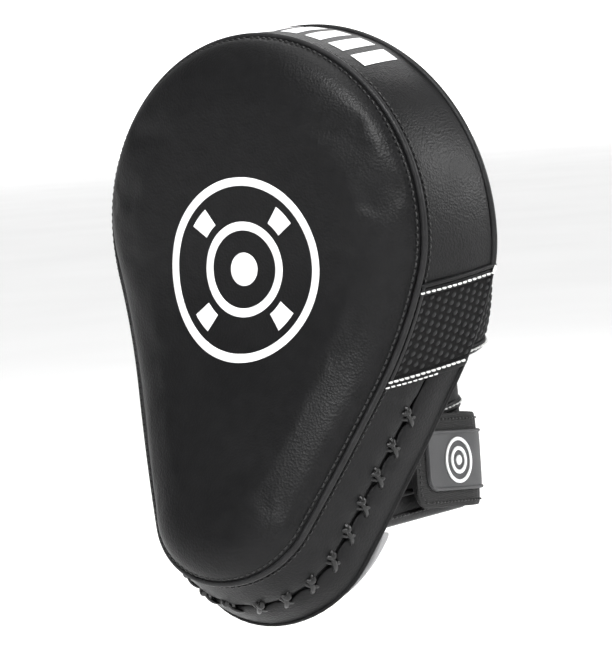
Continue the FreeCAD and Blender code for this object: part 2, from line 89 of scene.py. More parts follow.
def bend(z):
    """Y of the pad's flat back at a height: upright above the bend, sloping forward below it."""
    z = np.asarray(z, float)
    start = BEND_RADIUS * math.tan(BEND_ANGLE / 2)
    end = start - BEND_RADIUS * math.sin(BEND_ANGLE)
    inside = np.clip(start - z, 0, start - end)
    curved = np.sqrt(BEND_RADIUS ** 2 - inside ** 2) - BEND_RADIUS
    return curved - np.clip(end - z, 0, None) * math.tan(BEND_ANGLE)


def sizes(y):
    """Both radii and both centres of the outline at a distance along Y."""
    top, low = (y - TOP_MIDDLE) / -SEAM, (y - LOW_MIDDLE) / -SEAM
    return (
        TOP_RADIUS[0] + (TOP_RADIUS[1] - TOP_RADIUS[0]) * top,
        TOP_HEIGHT[0] + (TOP_HEIGHT[1] - TOP_HEIGHT[0]) * top,
        LOW_RADIUS[0] + (LOW_RADIUS[1] - LOW_RADIUS[0]) * low,
        LOW_HEIGHT[0] + (LOW_HEIGHT[1] - LOW_HEIGHT[0]) * low,
    )


LEAN = math.asin((TOP_RADIUS[0] - LOW_RADIUS[0]) / (TOP_HEIGHT[0] - LOW_HEIGHT[0]))
LOW_ARC = LOW_RADIUS[0] * (math.pi / 2 - LEAN)
STRAIGHT = (TOP_HEIGHT[0] - LOW_HEIGHT[0]) * math.cos(LEAN)
HALF_ROUND = LOW_ARC + STRAIGHT + TOP_RADIUS[0] * (math.pi / 2 + LEAN)


def pad_point(along, depth, lift=0.0, scale=1.0):
    """Point of the pad: along the seam's outline from its lowest point (negative on the left), at a depth
    from the flat back. lift moves it outwards and scale draws it in towards the outline's middle line."""
    along, depth, lift, scale = (np.asarray(v, float) for v in (along, depth, lift, scale))
    along, depth, lift, scale = np.broadcast_arrays(along, depth, lift, scale)
    way = np.abs(along)
    y = np.full(way.shape, LOW_MIDDLE)
    low_share = np.clip(way / LOW_ARC, 0, 1)
    line_share = np.clip((way - LOW_ARC) / STRAIGHT, 0, 1)
    top_share = np.clip((way - LOW_ARC - STRAIGHT) / (HALF_ROUND - LOW_ARC - STRAIGHT), 0, 1)
    for _ in range(10):
        big, high, small, low = sizes(y)
        turn = math.pi / 2 - np.arcsin((big - small) / (high - low))
        angle = turn * low_share + (math.pi - turn) * top_share
        radius = (small + (big - small) * line_share) * scale + lift
        x = radius * np.sin(angle)
        z = low + (high - low) * line_share - radius * np.cos(angle)
        y = bend(z) + depth
    return np.stack([x * np.sign(along + 1e-12), y, z], axis=-1)


def way_at(height, depth):
    """Distance along the outline at which the side wall crosses the tilted plane of that height."""
    low, high = np.zeros(np.shape(depth)), np.full(np.shape(depth), HALF_ROUND)
    for _ in range(26):
        middle = (low + high) / 2
        p = pad_point(middle, depth)
        above = p[..., 2] > height + p[..., 1] * HEM_SLOPE
        high, low = np.where(above, middle, high), np.where(above, low, middle)
    return (low + high) / 2


def ripple(points, size, seed):
    """Slow smooth unevenness between -1 and 1, from a few seeded waves."""
    draw = np.random.default_rng(seed)
    total = np.zeros(points.shape[:-1])
    for _ in range(7):
        direction = draw.normal(size=3)
        direction /= np.linalg.norm(direction)
        pace, start = draw.uniform(0.6, 1.5), draw.uniform(0, 6.3)
        total += np.sin(points @ direction * (2 * math.pi / size) * pace + start)
    return total / 7


# Mesh helpers


def new_mesh(name, points, faces, material, body="mitt", smooth=True):
    mesh = bpy.data.meshes.new(name)
    mesh.from_pydata([tuple(p) for p in np.asarray(points).reshape(-1, 3)], [], [tuple(f) for f in faces])
    mesh.validate()
    for polygon in mesh.polygons:
        polygon.use_smooth = smooth
    item = bpy.data.objects.new(name, mesh)
    bpy.context.scene.collection.objects.link(item)
    item.data.materials.append(material)
    if body:
        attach(item, body)
    return item


def grid_faces(rows, columns, around=False):
    """Quads of a grid of rows by columns; around joins the last column to the first."""
    faces = []
    for r in range(rows - 1):
        for c in range(columns if around else columns - 1):
            d = (c + 1) % columns
            faces.append((r * columns + c, r * columns + d, (r + 1) * columns + d, (r + 1) * columns + c))
    return faces


def sheet_mesh(name, points, material, body="mitt", around=False, thick=0.0, flip=False, keep=None):
    """Surface over a grid of points, thickened on its inner side."""
    rows, columns = points.shape[:2]
    faces = grid_faces(rows, columns, around)
    if keep is not None:
        flat = points.reshape(-1, 3)
        faces = [f for f in faces if keep(flat[list(f)].mean(axis=0))]
    if flip:
        faces = [f[::-1] for f in faces]
    item = new_mesh(name, points, faces, material, body)
    weld(item)
    return thicken(item, thick) if thick else item


def thicken(item, thick, offset=-1):
    """Gives a sheet its thickness: on its inner side at offset -1, on both sides at offset 0."""
    solid = item.modifiers.new("thickness", "SOLIDIFY")
    solid.thickness, solid.offset = thick, offset
    return item


def weld(item, distance=0.00002):
    """Joins points that coincide."""
    work = bmesh.new()
    work.from_mesh(item.data)
    bmesh.ops.remove_doubles(work, verts=work.verts, dist=distance)
    bmesh.ops.dissolve_degenerate(work, edges=work.edges, dist=distance / 4)
    work.to_mesh(item.data)
    work.free()


def tangents(path, closed=False):
    """Tangents of a path of points."""
    if closed:
        tangent = np.roll(path, -1, axis=0) - np.roll(path, 1, axis=0)
    else:
        tangent = np.gradient(path, axis=0)
    return tangent / np.linalg.norm(tangent, axis=1, keepdims=True)


def tube(name, path, normals, radius, material, body="mitt", closed=False, sides=10, flat=1.0):
    """Round or flattened tube along a path, with its flat side across the given normals."""
    path, normals = np.asarray(path), np.asarray(normals)
    tangent = tangents(path, closed)
    across = np.cross(tangent, normals)
    across /= np.linalg.norm(across, axis=1, keepdims=True)
    up = np.cross(across, tangent)
    radius = np.broadcast_to(radius, len(path))[:, None]
    rings = []
    for k in range(sides):
        angle = 2 * math.pi * k / sides
        rings.append(path + across * radius * math.cos(angle) + up * radius * flat * math.sin(angle))
    points = np.stack(rings, axis=1)
    if closed:
        points = np.concatenate([points, points[:1]], axis=0)
    item = sheet_mesh(name, points, material, body, around=True)
    if not closed:
        cap_ends(item)
    return item


def cap_ends(item):
    work = bmesh.new()
    work.from_mesh(item.data)
    bmesh.ops.holes_fill(work, edges=[e for e in work.edges if e.is_boundary], sides=0)
    bmesh.ops.recalc_face_normals(work, faces=work.faces)
    for face in work.faces:
        face.smooth = True
    work.to_mesh(item.data)
    work.free()


def resample(path, normals, step):
    """Points, tangents and normals every step along a path."""
    length = np.concatenate([[0], np.cumsum(np.linalg.norm(np.diff(path, axis=0), axis=1))])
    where = np.arange(step / 2, length[-1] - step * 0.3, step)
    pick = lambda values: np.stack([np.interp(where, length, values[:, k]) for k in range(3)], axis=1)
    return pick(path), pick(tangents(path)), pick(normals)


def stitches(name, path, normals, material, body="mitt", pitch=3.2 * MM, gap=0.9 * MM, radius=0.36 * MM):
    """Row of thread stitches along a path: short rounded lengths that dip into the cloth at both ends."""
    centres, tangent, up = resample(np.asarray(path), np.asarray(normals), pitch)
    up /= np.linalg.norm(up, axis=1, keepdims=True)
    tangent /= np.linalg.norm(tangent, axis=1, keepdims=True)
    across = np.cross(tangent, up)
    half = (pitch - gap) / 2
    # place along a stitch, thickness and rise at its rings, as shares of its half length and radius
    stations = ((-1.0, 0.45, -1.0), (-0.75, 0.9, 0.0), (0.0, 1.1, 0.45), (0.75, 0.9, 0.0), (1.0, 0.45, -1.0))
    points, faces = [], []
    for centre, t, u, a in zip(centres, tangent, up, across):
        first = len(points)
        for place, size, rise in stations:
            middle = centre + t * half * place + u * radius * (0.2 + rise)
            for k in range(6):
                angle = math.pi * k / 3
                points.append(middle + (a * math.cos(angle) + u * math.sin(angle)) * radius * size)
        faces += [tuple(first + i for i in face) for face in grid_faces(len(stations), 6, True)]
        faces.append(tuple(first + k for k in range(5, -1, -1)))
        faces.append(tuple(first + 6 * (len(stations) - 1) + k for k in range(6)))
    return new_mesh(name, np.array(points), faces, material, body)


def outward(along, depth):
    """Unit normals of the side wall."""
    return unit(pad_point(along, depth, 1 * MM) - pad_point(along, depth, -1 * MM))


def unit(vectors):
    return vectors / np.linalg.norm(vectors, axis=-1, keepdims=True)


def surface(item):
    """Ray-casting tree over the finished surface of a piece."""
    mesh = item.evaluated_get(bpy.context.evaluated_depsgraph_get()).to_mesh()
    points = [item.matrix_world @ v.co for v in mesh.vertices]
    return BVHTree.FromPolygons(points, [list(p.vertices) for p in mesh.polygons])


def drop(tree, points, direction, lift):
    """Moves points along a direction onto a surface and a little above it."""
    direction = Vector(direction).normalized()
    placed = []
    for p in np.asarray(points).reshape(-1, 3):
        hit, normal, _, _ = tree.ray_cast(Vector(p) - direction * 0.1, direction)
        hit = Vector(p) if hit is None else hit
        normal = -direction if normal is None else normal
        normal = -normal if normal.dot(direction) > 0 else normal
        placed.append(hit + normal * lift)
    return np.array(placed).reshape(np.shape(points))


# Materials


def grey(value, blue=None):
    return value, value, value if blue is None else blue


def node_material(name, color, roughness, **sockets):
    material = bpy.data.materials.new(name)
    material.use_nodes = True
    shader = material.node_tree.nodes["Principled BSDF"]
    shader.inputs["Base Color"].default_value = (*color, 1)
    shader.inputs["Roughness"].default_value = roughness
    for socket, number in sockets.items():
        shader.inputs[socket.replace("_", " ")].default_value = number
    return material, material.node_tree, shader


def add(tree, kind, **inputs):
    item = tree.nodes.new(kind)
    for name, number in inputs.items():
        item.inputs[name.replace("_", " ")].default_value = number
    return item


def vary(tree, shader, source, socket, low, high):
    """Drives a colour or a number by a texture between two values."""
    if isinstance(low, tuple):
        mix = tree.nodes.new("ShaderNodeValToRGB")
        for stop, position, color in zip(mix.color_ramp.elements, (0.3, 0.7), (low, high)):
            stop.position, stop.color = position, (*color, 1)
        tree.links.new(source, mix.inputs["Fac"])
        tree.links.new(mix.outputs["Color"], shader.inputs[socket])
        return
    scale = add(tree, "ShaderNodeMapRange", From_Min=0.3, From_Max=0.7, To_Min=low, To_Max=high)
    tree.links.new(source, scale.inputs["Value"])
    tree.links.new(scale.outputs["Result"], shader.inputs[socket])


def bump(tree, shader, layers):
    """Stacks bumps: each layer is a texture output, a strength and a distance."""
    last = None
    for source, strength, distance in layers:
        item = add(tree, "ShaderNodeBump", Strength=strength, Distance=distance)
        tree.links.new(source, item.inputs["Height"])
        if last is not None:
            tree.links.new(last.outputs["Normal"], item.inputs["Normal"])
        last = item
    tree.links.new(last.outputs["Normal"], shader.inputs["Normal"])


def coordinates(tree):
    return tree.nodes.new("ShaderNodeTexCoord").outputs["Object"]


def texture(tree, kind, place, output, **inputs):
    item = add(tree, kind, **inputs)
    tree.links.new(place, item.inputs["Vector"])
    return item.outputs[output]


def noise(tree, place, scale, detail=2.0, roughness=0.5):
    return texture(tree, "ShaderNodeTexNoise", place, "Fac", Scale=scale, Detail=detail, Roughness=roughness)


def pebbles(tree, place):
    return texture(tree, "ShaderNodeTexVoronoi", place, "Distance", Scale=900.0)


def waves(tree, place, direction, **inputs):
    item = add(tree, "ShaderNodeTexWave", **inputs)
    item.bands_direction = direction
    tree.links.new(place, item.inputs["Vector"])
    return item.outputs["Fac"]


def leather(name, dark, light, rough, grain=1.0):
    """Leather: pebbled grain, fine pores, uneven gloss and slightly uneven colour."""
    material, tree, shader = node_material(name, dark, rough[0], Specular_IOR_Level=0.14)
    place = coordinates(tree)
    folds = noise(tree, place, 170.0, 4.0, 0.55)
    vary(tree, shader, noise(tree, place, 28.0, 3.0), "Roughness", rough[0], rough[1])
    vary(tree, shader, folds, "Base Color", dark, light)
    bump(tree, shader, [
        (folds, 0.25 * grain, 0.0006),
        (pebbles(tree, place), 0.55 * grain, 0.00022),
        (noise(tree, place, 2600.0, 3.0, 0.6), 0.35 * grain, 0.0001),
    ])
    return material


def woven(name, dark, light, pitch, rough=0.8, sheen=0.2):
    """Woven webbing: two crossed sets of threads and fuzz."""
    material, tree, shader = node_material(name, dark, rough, Sheen_Weight=sheen, Sheen_Roughness=0.5,
                                           Specular_IOR_Level=0.3)
    place = coordinates(tree)
    sizes = dict(Scale=0.32 / pitch, Distortion=0.6, Detail=1.0, Detail_Scale=2.0)
    fuzz = noise(tree, place, 900.0, 3.0, 0.7)
    vary(tree, shader, fuzz, "Base Color", dark, light)
    bump(tree, shader, [(waves(tree, place, "X", **sizes), 0.5, 0.0003),
                        (waves(tree, place, "Z", **sizes), 0.5, 0.0003), (fuzz, 0.4, 0.0002)])
    return material


def suede(name, dark, light):
    """Suede: brushed nap with cloudy colour."""
    material, tree, shader = node_material(name, dark, 0.92, Sheen_Weight=0.5, Sheen_Roughness=0.4,
                                           Specular_IOR_Level=0.2)
    place = coordinates(tree)
    vary(tree, shader, noise(tree, place, 60.0, 3.0), "Base Color", dark, light)
    bump(tree, shader, [(noise(tree, place, 700.0, 4.0, 0.7), 0.5, 0.0003)])
    return material


def thread(name, color, rough=0.6):
    """Twisted thread: fine slanting ridges."""
    material, tree, shader = node_material(name, color, rough, Sheen_Weight=0.02, Specular_IOR_Level=0.3)
    place = coordinates(tree)
    vary(tree, shader, noise(tree, place, 150.0), "Base Color", tuple(c * 0.78 for c in color), color)
    bump(tree, shader, [(waves(tree, place, "DIAGONAL", Scale=900.0, Distortion=0.4), 0.4, 0.0001)])
    return material


def printed(name, color):
    """Print on leather: thin, slightly worn, with the grain showing through."""
    material, tree, shader = node_material(name, color, 0.55, Specular_IOR_Level=0.4)
    place = coordinates(tree)
    wear = noise(tree, place, 240.0, 5.0, 0.65)
    vary(tree, shader, wear, "Base Color", tuple(c * 0.84 for c in color), color)
    bump(tree, shader, [(pebbles(tree, place), 0.35, 0.00015)])
    return material


def mesh_cloth(name):
    """Raised mesh: glossy knots on a dark, open ground, told apart by the knot value of each point; the
    ground is coloured far darker than the knot tops, as painted shade for the mesh's open holes and the
    hollows between the raised knots.
    """
    material, tree, shader = node_material(name, grey(0.01), 0.6, Specular_IOR_Level=0.2)
    knot = tree.nodes.new("ShaderNodeAttribute")
    knot.attribute_name = "knot"
    # Colour follows knot height: painted shade on the low ground, lighter knot tops.
    ramp = tree.nodes.new("ShaderNodeValToRGB")
    painted_shade_ground, knot_top = ramp.color_ramp.elements
    painted_shade_ground.position, painted_shade_ground.color = 0.15, (*grey(0.002), 1)
    knot_top.position, knot_top.color = 0.85, (*grey(0.012, 0.0125), 1)
    tree.links.new(knot.outputs["Fac"], ramp.inputs["Fac"])
    tree.links.new(ramp.outputs["Color"], shader.inputs["Base Color"])
    gloss = add(tree, "ShaderNodeMapRange", From_Min=0.0, From_Max=1.0, To_Min=0.95, To_Max=0.42)
    tree.links.new(knot.outputs["Fac"], gloss.inputs["Value"])
    tree.links.new(gloss.outputs["Result"], shader.inputs["Roughness"])
    bump(tree, shader, [(noise(tree, coordinates(tree), 1500.0), 0.25, 0.0001)])
    return material


def rubber(name, dark, light):
    """Moulded rubber: matte, finely speckled."""
    material, tree, shader = node_material(name, dark, 0.6, Specular_IOR_Level=0.3)
    place = coordinates(tree)
    vary(tree, shader, noise(tree, place, 90.0), "Base Color", dark, light)
    bump(tree, shader, [(noise(tree, place, 1800.0, 3.0, 0.7), 0.5, 0.0001)])
    return material


FACE_LEATHER = leather("face_leather", grey(0.0028, 0.003), grey(0.0045, 0.0048), (0.40, 0.5))
GUSSET_LEATHER = leather("gusset_leather", grey(0.003, 0.0032), grey(0.005, 0.0053), (0.42, 0.54), 1.1)
SOFT_LEATHER = leather("soft_leather", grey(0.002, 0.0022), grey(0.0035, 0.0037), (0.5, 0.62), 0.9)
TRIM_LEATHER = leather("trim_leather", grey(0.008, 0.0083), grey(0.013, 0.0135), (0.4, 0.5), 0.7)
MESH_CLOTH = mesh_cloth("raised_mesh")
WEBBING = woven("strap_webbing", grey(0.003), grey(0.006), 0.9 * MM, 0.8, 0.02)
LINING = woven("hood_lining", grey(0.02), grey(0.035), 1.2 * MM)
HOOK_LOOP = woven("hook_and_loop", grey(0.008), grey(0.02), 1.6 * MM, 0.95, 0.4)
GREY_SUEDE = suede("grey_suede", grey(0.13, 0.133), grey(0.19, 0.193))
WHITE_THREAD = thread("white_thread", grey(0.6, 0.59))
BLACK_THREAD = thread("black_thread", grey(0.012), 0.45)
LACE = thread("waxed_lace", grey(0.004), 0.3)
WHITE_PRINT = printed("white_print", grey(0.66))
PATCH = rubber("patch_rubber", grey(0.035, 0.0365), grey(0.048, 0.0495))

# Camera, light and floor

EYE_TURN, EYE_RISE, EYE_ROLL = math.radians(37.06), math.radians(4.4), math.radians(4.04)
EYE_DISTANCE, EYE_TARGET = 1.5, Vector((0, SEAM, 3.3 * MM))
LENS, SENSOR, SHIFT = 182.8, 36, (0.0547, -0.0187)
FLOOR, STAGE = cad_low.z - 120 * MM, 12


def eye_axes(turn, rise):
    """Right, up and back directions of an eye that looks at the mitt."""
    back = Vector((math.sin(turn) * math.cos(rise), -math.cos(turn) * math.cos(rise), math.sin(rise)))
    right = Vector((math.cos(turn), math.sin(turn), 0))
    return right, back.cross(right), back


def make_camera():
    data = bpy.data.cameras.new("camera")
    camera = bpy.data.objects.new("camera", data)
    bpy.context.scene.collection.objects.link(camera)
    right, up, back = eye_axes(EYE_TURN, EYE_RISE)
    side = right * math.cos(EYE_ROLL) - up * math.sin(EYE_ROLL)
    top = right * math.sin(EYE_ROLL) + up * math.cos(EYE_ROLL)
    camera.matrix_world = Matrix((side, top, back)).transposed().to_4x4()
    camera.location = EYE_TARGET + back * EYE_DISTANCE
    data.sensor_width, data.lens = SENSOR, LENS
    data.shift_x, data.shift_y = SHIFT
    bpy.context.scene.camera = camera


def area_light(name, turn, rise, distance, size, power):
    """Soft box that faces the mitt from a direction."""
    data = bpy.data.lights.new(name, "AREA")
    data.shape, data.size, data.size_y = "RECTANGLE", size[0], size[1]
    data.energy = power
    light = bpy.data.objects.new(name, data)
    bpy.context.scene.collection.objects.link(light)
    right, up, back = eye_axes(math.radians(turn), math.radians(rise))
    light.matrix_world = Matrix((right, up, back)).transposed().to_4x4()
    light.location = back * distance


def make_studio():
    world = bpy.data.worlds.new("studio")
    world.use_nodes = True
    sky = world.node_tree.nodes["Background"].inputs
    sky["Color"].default_value, sky["Strength"].default_value = (1, 1, 1, 1), 0.3
    bpy.context.scene.world = world
    bpy.context.scene.view_settings.view_transform = "Standard"
    area_light("key", 24, 38, 1.6, (0.45, 0.35), 42)
    area_light("right", 128, 22, 1.7, (0.35, 0.7), 26)
    area_light("back", 205, 40, 2.0, (1.0, 0.8), 14)
    sun = bpy.data.lights.new("ceiling", "SUN")
    sun.energy, sun.angle = 2.0, math.radians(40)
    bpy.context.scene.collection.objects.link(bpy.data.objects.new("ceiling", sun))
    floor_material, tree, shader = node_material("pale_floor", grey(0.93), 0.9)
    vary(tree, shader, noise(tree, coordinates(tree), 3.0), "Base Color", grey(0.91), grey(0.94))
    turns = [k * math.pi / 32 for k in range(64)]
    ring = [(STAGE * math.cos(turn), STAGE * math.sin(turn), FLOOR) for turn in turns]
    new_mesh("floor", ring, [tuple(range(64))], floor_material, body=None, smooth=False)
    backdrop_material = node_material("pale_backdrop", grey(0.93), 0.9, Emission_Color=(1, 1, 1, 1),
                                      Emission_Strength=0.9)[0]
    wall = np.array([ring, [(x, y, STAGE / 12) for x, y, _ in ring]])
    sheet_mesh("backdrop", wall, backdrop_material, body=None, around=True)


# Padding


def coords(mesh):
    flat = np.empty(len(mesh.vertices) * 3)
    mesh.vertices.foreach_get("co", flat)
    return flat.reshape(-1, 3)


PUFF_FRAMES, PUFF_PRESSURE, PUFF_CAP = 20, 2.5, 1.5 * MM


def puff(item, hold):
    """Cloth simulation under inner pressure: points chosen by hold stay put, none moves past the cap."""
    before = coords(item.data)
    sewn = item.vertex_groups.new(name="sewn")
    sewn.add([int(k) for k in np.flatnonzero(hold(before))], 1.0, "REPLACE")
    cloth = item.modifiers.new("cloth", "CLOTH")
    cloth.settings.quality = 5
    cloth.settings.mass = 0.25
    cloth.settings.tension_stiffness = cloth.settings.compression_stiffness = 12
    cloth.settings.bending_stiffness = 0.6
    cloth.settings.use_pressure = True
    cloth.settings.uniform_pressure_force = PUFF_PRESSURE
    cloth.settings.vertex_group_mass = sewn.name
    cloth.settings.effector_weights.gravity = 0
    cloth.point_cache.frame_start, cloth.point_cache.frame_end = 1, PUFF_FRAMES
    for number in range(1, PUFF_FRAMES + 1):
        bpy.context.scene.frame_set(number)
    graph = bpy.context.evaluated_depsgraph_get()
    moved = coords(item.evaluated_get(graph).data)
    item.modifiers.remove(cloth)
    bpy.context.scene.frame_set(1)
    step = moved - before
    length = np.linalg.norm(step, axis=1, keepdims=True)
    step *= np.minimum(1, PUFF_CAP / np.maximum(length, 1e-9))
    item.data.vertices.foreach_set("co", (before + step).ravel())
    item.data.update()


def smooth_over(item, levels=1):
    level = item.modifiers.new("smooth", "SUBSURF")
    level.levels = level.render_levels = levels


def finish_piece(item, slot, *nodes):
    """Hides the CAD solids that a piece stands for; the slot argument is not used."""
    if nodes:
        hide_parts(*nodes)
    return item


def pad_cord(name, along, depth, lift, radius, material, slot, *nodes, **kinds):
    """Tube laid on the side wall at a lift."""
    path = pad_point(along, depth, lift)
    return finish_piece(tube(name, path, outward(along, depth), radius, material, **kinds), slot, *nodes)


# Face

SHOULDER, SHOULDER_POWER = 22 * MM, 2.4


def crown_rise(inset):
    """Height of the crowned face above its seam at a distance in from the edge."""
    share = 1 - np.clip(inset / SHOULDER, 0, 1)
    return CROWN * (1 - share ** SHOULDER_POWER) ** (1 / SHOULDER_POWER)


def make_face():
    columns = 176
    along = np.linspace(-HALF_ROUND, HALF_ROUND, columns + 1)[:-1]
    inward = np.linspace(0, 1, 30) ** 1.5
    width = np.interp(np.abs(along), (0, LOW_ARC, LOW_ARC + STRAIGHT, HALF_ROUND),
                      (LOW_RADIUS[0], LOW_RADIUS[0], TOP_RADIUS[0], TOP_RADIUS[0]))
    rows = [pad_point(along, SEAM + 2.4 * MM, 0, (1 - share) * 0.99) for share in inward[::-3]]
    for share in inward:
        rise = crown_rise(share * width) + 2.2 * MM * share * (2 - share)
        point = pad_point(along, SEAM - rise, 0, 1 - share)
        point[:, 1] += 0.35 * MM * ripple(point, 60 * MM, 3) * min(share * 6, 1)
        rows.append(point)
    face = sheet_mesh("face_cushion", np.array(rows), FACE_LEATHER, around=True)
    cap_ends(face)
    puff(face, lambda p: p[:, 1] > bend(p[:, 2]) + SEAM - 3 * MM)
    smooth_over(face)
    finish_piece(face, "black_leather", "face_cover", "strike_foam", "core_foam", "back_foam")
    return face


def make_piping():
    along = np.linspace(-HALF_ROUND, HALF_ROUND, 331)[:-1]
    pad_cord("face_piping_cord", along, SEAM, 0.3 * MM, 1.45 * MM, TRIM_LEATHER, "black_trim", "face_piping",
             closed=True)
    for name, behind, lift in (("face_edge", -3.4, -0.45), ("gusset_edge", 3.2, 0.5)):
        depth = SEAM + behind * MM
        path, normals = pad_point(along, depth, lift * MM), outward(along, depth)
        finish_piece(stitches(f"{name}_stitches", path, normals, BLACK_THREAD), "black_trim")


# Side walls

FRONT_EDGE, REAR_EDGE = SEAM + 1.3 * MM, -0.6 * MM


def mesh_lift(along, depths):
    """How far the mesh panel swells beyond the side wall."""
    share = np.clip((depths - FRONT_EDGE) / (REAR_EDGE - FRONT_EDGE), 0, 1)
    return 0.9 * MM * np.sin(math.pi * share) + 0.35 * MM * ripple(pad_point(along, depths), 30 * MM, 5)


def wall_row(side, rear=REAR_EDGE):
    """Gives the points of a tilted level on the swollen side wall at a lift."""
    depths = np.linspace(FRONT_EDGE, rear, 40)

    def row(height, lift):
        along = side * way_at(height, depths)
        return pad_point(along, depths, lift + mesh_lift(along, depths))

    return row


def lifted(row, height, lift):
    """A level's points and their outward normals."""
    path = row(height, lift)
    return path, unit(row(height, lift + 1 * MM) - path)


def raised_band(name, row, low, high, lift, slot, *nodes, material=SOFT_LEATHER, thick=1.2 * MM, sink=0.4,
                flip=False):
    """Band between two levels, rounded over both its edges and sunk in by a share of its thickness."""
    rows = []
    for share in np.linspace(0, 1, 7):
        grow = lift + thick * (1 - (2 * share - 1) ** 4 - sink)
        rows.append(row(low + (high - low) * share, grow))
    finish_piece(sheet_mesh(name, np.array(rows), material, thick=thick, flip=flip), slot, *nodes)


BOLD = dict(pitch=3.0 * MM, gap=0.8 * MM, radius=0.55 * MM)


def thread_row(name, row, height, lift, white=True, **sizes):
    """Stitches along a level, in white or black thread."""
    material, slot = (WHITE_THREAD, "emblem_white") if white else (BLACK_THREAD, "black_trim")
    return finish_piece(stitches(name, *lifted(row, height, lift), material, **sizes), slot)


def make_upper_gusset():
    depths = np.linspace(FRONT_EDGE, REAR_EDGE, 26)
    start = way_at(MESH_TOP, depths)
    rows = []
    for share in np.linspace(-1, 1, 181):
        along = start + (HALF_ROUND - start) * (1 - abs(share))
        rows.append(pad_point(np.where(share < 0, -along, along), depths))
    points = np.array(rows)
    across = np.linspace(0, 1, len(depths))
    swell = 1.3 * MM * np.sin(math.pi * across) ** 0.7 + 0.45 * MM * ripple(points, 45 * MM, 11)
    middle = np.array([0, 0, 37 * MM])
    normal = unit((points - middle) * np.array([1, 0, 1]))
    points += normal * swell[..., None]
    gusset = sheet_mesh("upper_gusset_panel", points, GUSSET_LEATHER, thick=1.8 * MM, flip=True)
    smooth_over(gusset)
    finish_piece(gusset, "black_leather", "upper_gusset")
    for side, word in ((1, "right"), (-1, "left")):
        row = wall_row(side)
        path, normals = lifted(row, MESH_TOP + 0.4 * MM, 0.9 * MM)
        fold = tube(f"gusset_fold_{word}", path, normals, 1.0 * MM, GUSSET_LEATHER)
        finish_piece(fold, "black_leather")
        raised_band(f"mesh_top_hem_{word}", row, MESH_TOP - 4.6 * MM, MESH_TOP - 0.6 * MM, 0.4 * MM,
                    "black_leather", flip=side < 0)
        thread_row(f"mesh_top_stitches_{word}", row, MESH_TOP - 2.7 * MM, 1.15 * MM, **BOLD)
    return gusset


DOT_COLUMN, DOT_ROW, DOT_RADIUS, DOT_HEIGHT = 4.0 * MM, 3.4 * MM, 1.15 * MM, 0.75 * MM


def dots(across, up):
    """Raised dots of the mesh: rows and columns of round knots, every second column half a row higher."""
    column = np.round(across / DOT_COLUMN)
    shift = np.where(column % 2 == 0, 0, DOT_ROW / 2)
    row = np.round((up - shift) / DOT_ROW)
    away = np.hypot(across - column * DOT_COLUMN, up - shift - row * DOT_ROW)
    return np.sqrt(np.clip(1 - (away / DOT_RADIUS) ** 2, 0, 1))


def between_hems(heights):
    """1 where the mesh shows, 0 under the hems at its two ends."""
    return np.where((heights > MESH_BOTTOM + 2.9 * MM) & (heights < MESH_TOP - 5.4 * MM), 1.0, 0.0)


def knot_mesh(name, points, normals, knots, thick, flip):
    """Mesh cloth over a grid, with its dots raised and marked by their height, which the mesh material turns
    into painted shade on the ground between the dots.
    """
    raised = points + normals * (knots * DOT_HEIGHT)[..., None]
    item = sheet_mesh(name, raised, MESH_CLOTH, flip=flip)
    mark = item.data.attributes.new("knot", "FLOAT", "POINT")
    tree = KDTree(points.size // 3)
    for index, point in enumerate(raised.reshape(-1, 3)):
        tree.insert(point, index)
    tree.balance()
    flat = knots.ravel()
    values = [flat[tree.find(v.co)[1]] for v in item.data.vertices]
    mark.data.foreach_set("value", values)
    return thicken(item, thick)


def make_mesh_gusset(side, word):
    depths = np.linspace(FRONT_EDGE, REAR_EDGE, 100)
    heights = np.linspace(MESH_BOTTOM, MESH_TOP, 94)
    along = np.array([side * way_at(height, depths) for height in heights])
    points = pad_point(along, depths, mesh_lift(along, depths))
    normals = outward(along, depths)
    knots = dots(depths[None, :] - FRONT_EDGE, heights[:, None]) * between_hems(heights)[:, None]
    item = knot_mesh(f"mesh_panel_{word}", points, normals, knots, 1.2 * MM, flip=side < 0)
    finish_piece(item, "dark_mesh", f"mesh_gusset_{word}")
    depth = SEAM + 3.0 * MM
    along = side * way_at(heights, np.full(len(heights), depth))
    pad_cord(f"mesh_edge_{word}", along, depth, 0.7 * MM, 1.1 * MM, TRIM_LEATHER, "black_trim", flat=0.6)
    row = wall_row(side)
    raised_band(f"mesh_low_hem_{word}", row, MESH_BOTTOM - 2.6 * MM, MESH_BOTTOM + 2.0 * MM, 0.5 * MM,
                "black_leather", flip=side < 0)
    thread_row(f"mesh_low_stitches_{word}_0", row, MESH_BOTTOM + 0.9 * MM, 1.25 * MM, **BOLD)
    front_row = wall_row(side, FRONT_EDGE + 26 * MM)
    thin = dict(BOLD, radius=0.4 * MM)
    thread_row(f"mesh_low_stitches_{word}_1", front_row, MESH_BOTTOM - 1.3 * MM, 1.25 * MM, **thin)


# Laced lower gusset

SLIT_TOP = -29.6 * MM
CROSSINGS = [(k - (LACE_COUNT - 1) / 2) * LACE_PITCH for k in range(LACE_COUNT)]


def pinch(along):
    """1 where a lace crossing pulls the slit's lips together and 0 half way between crossings."""
    return 0.5 + 0.5 * np.cos(2 * math.pi * along / LACE_PITCH)


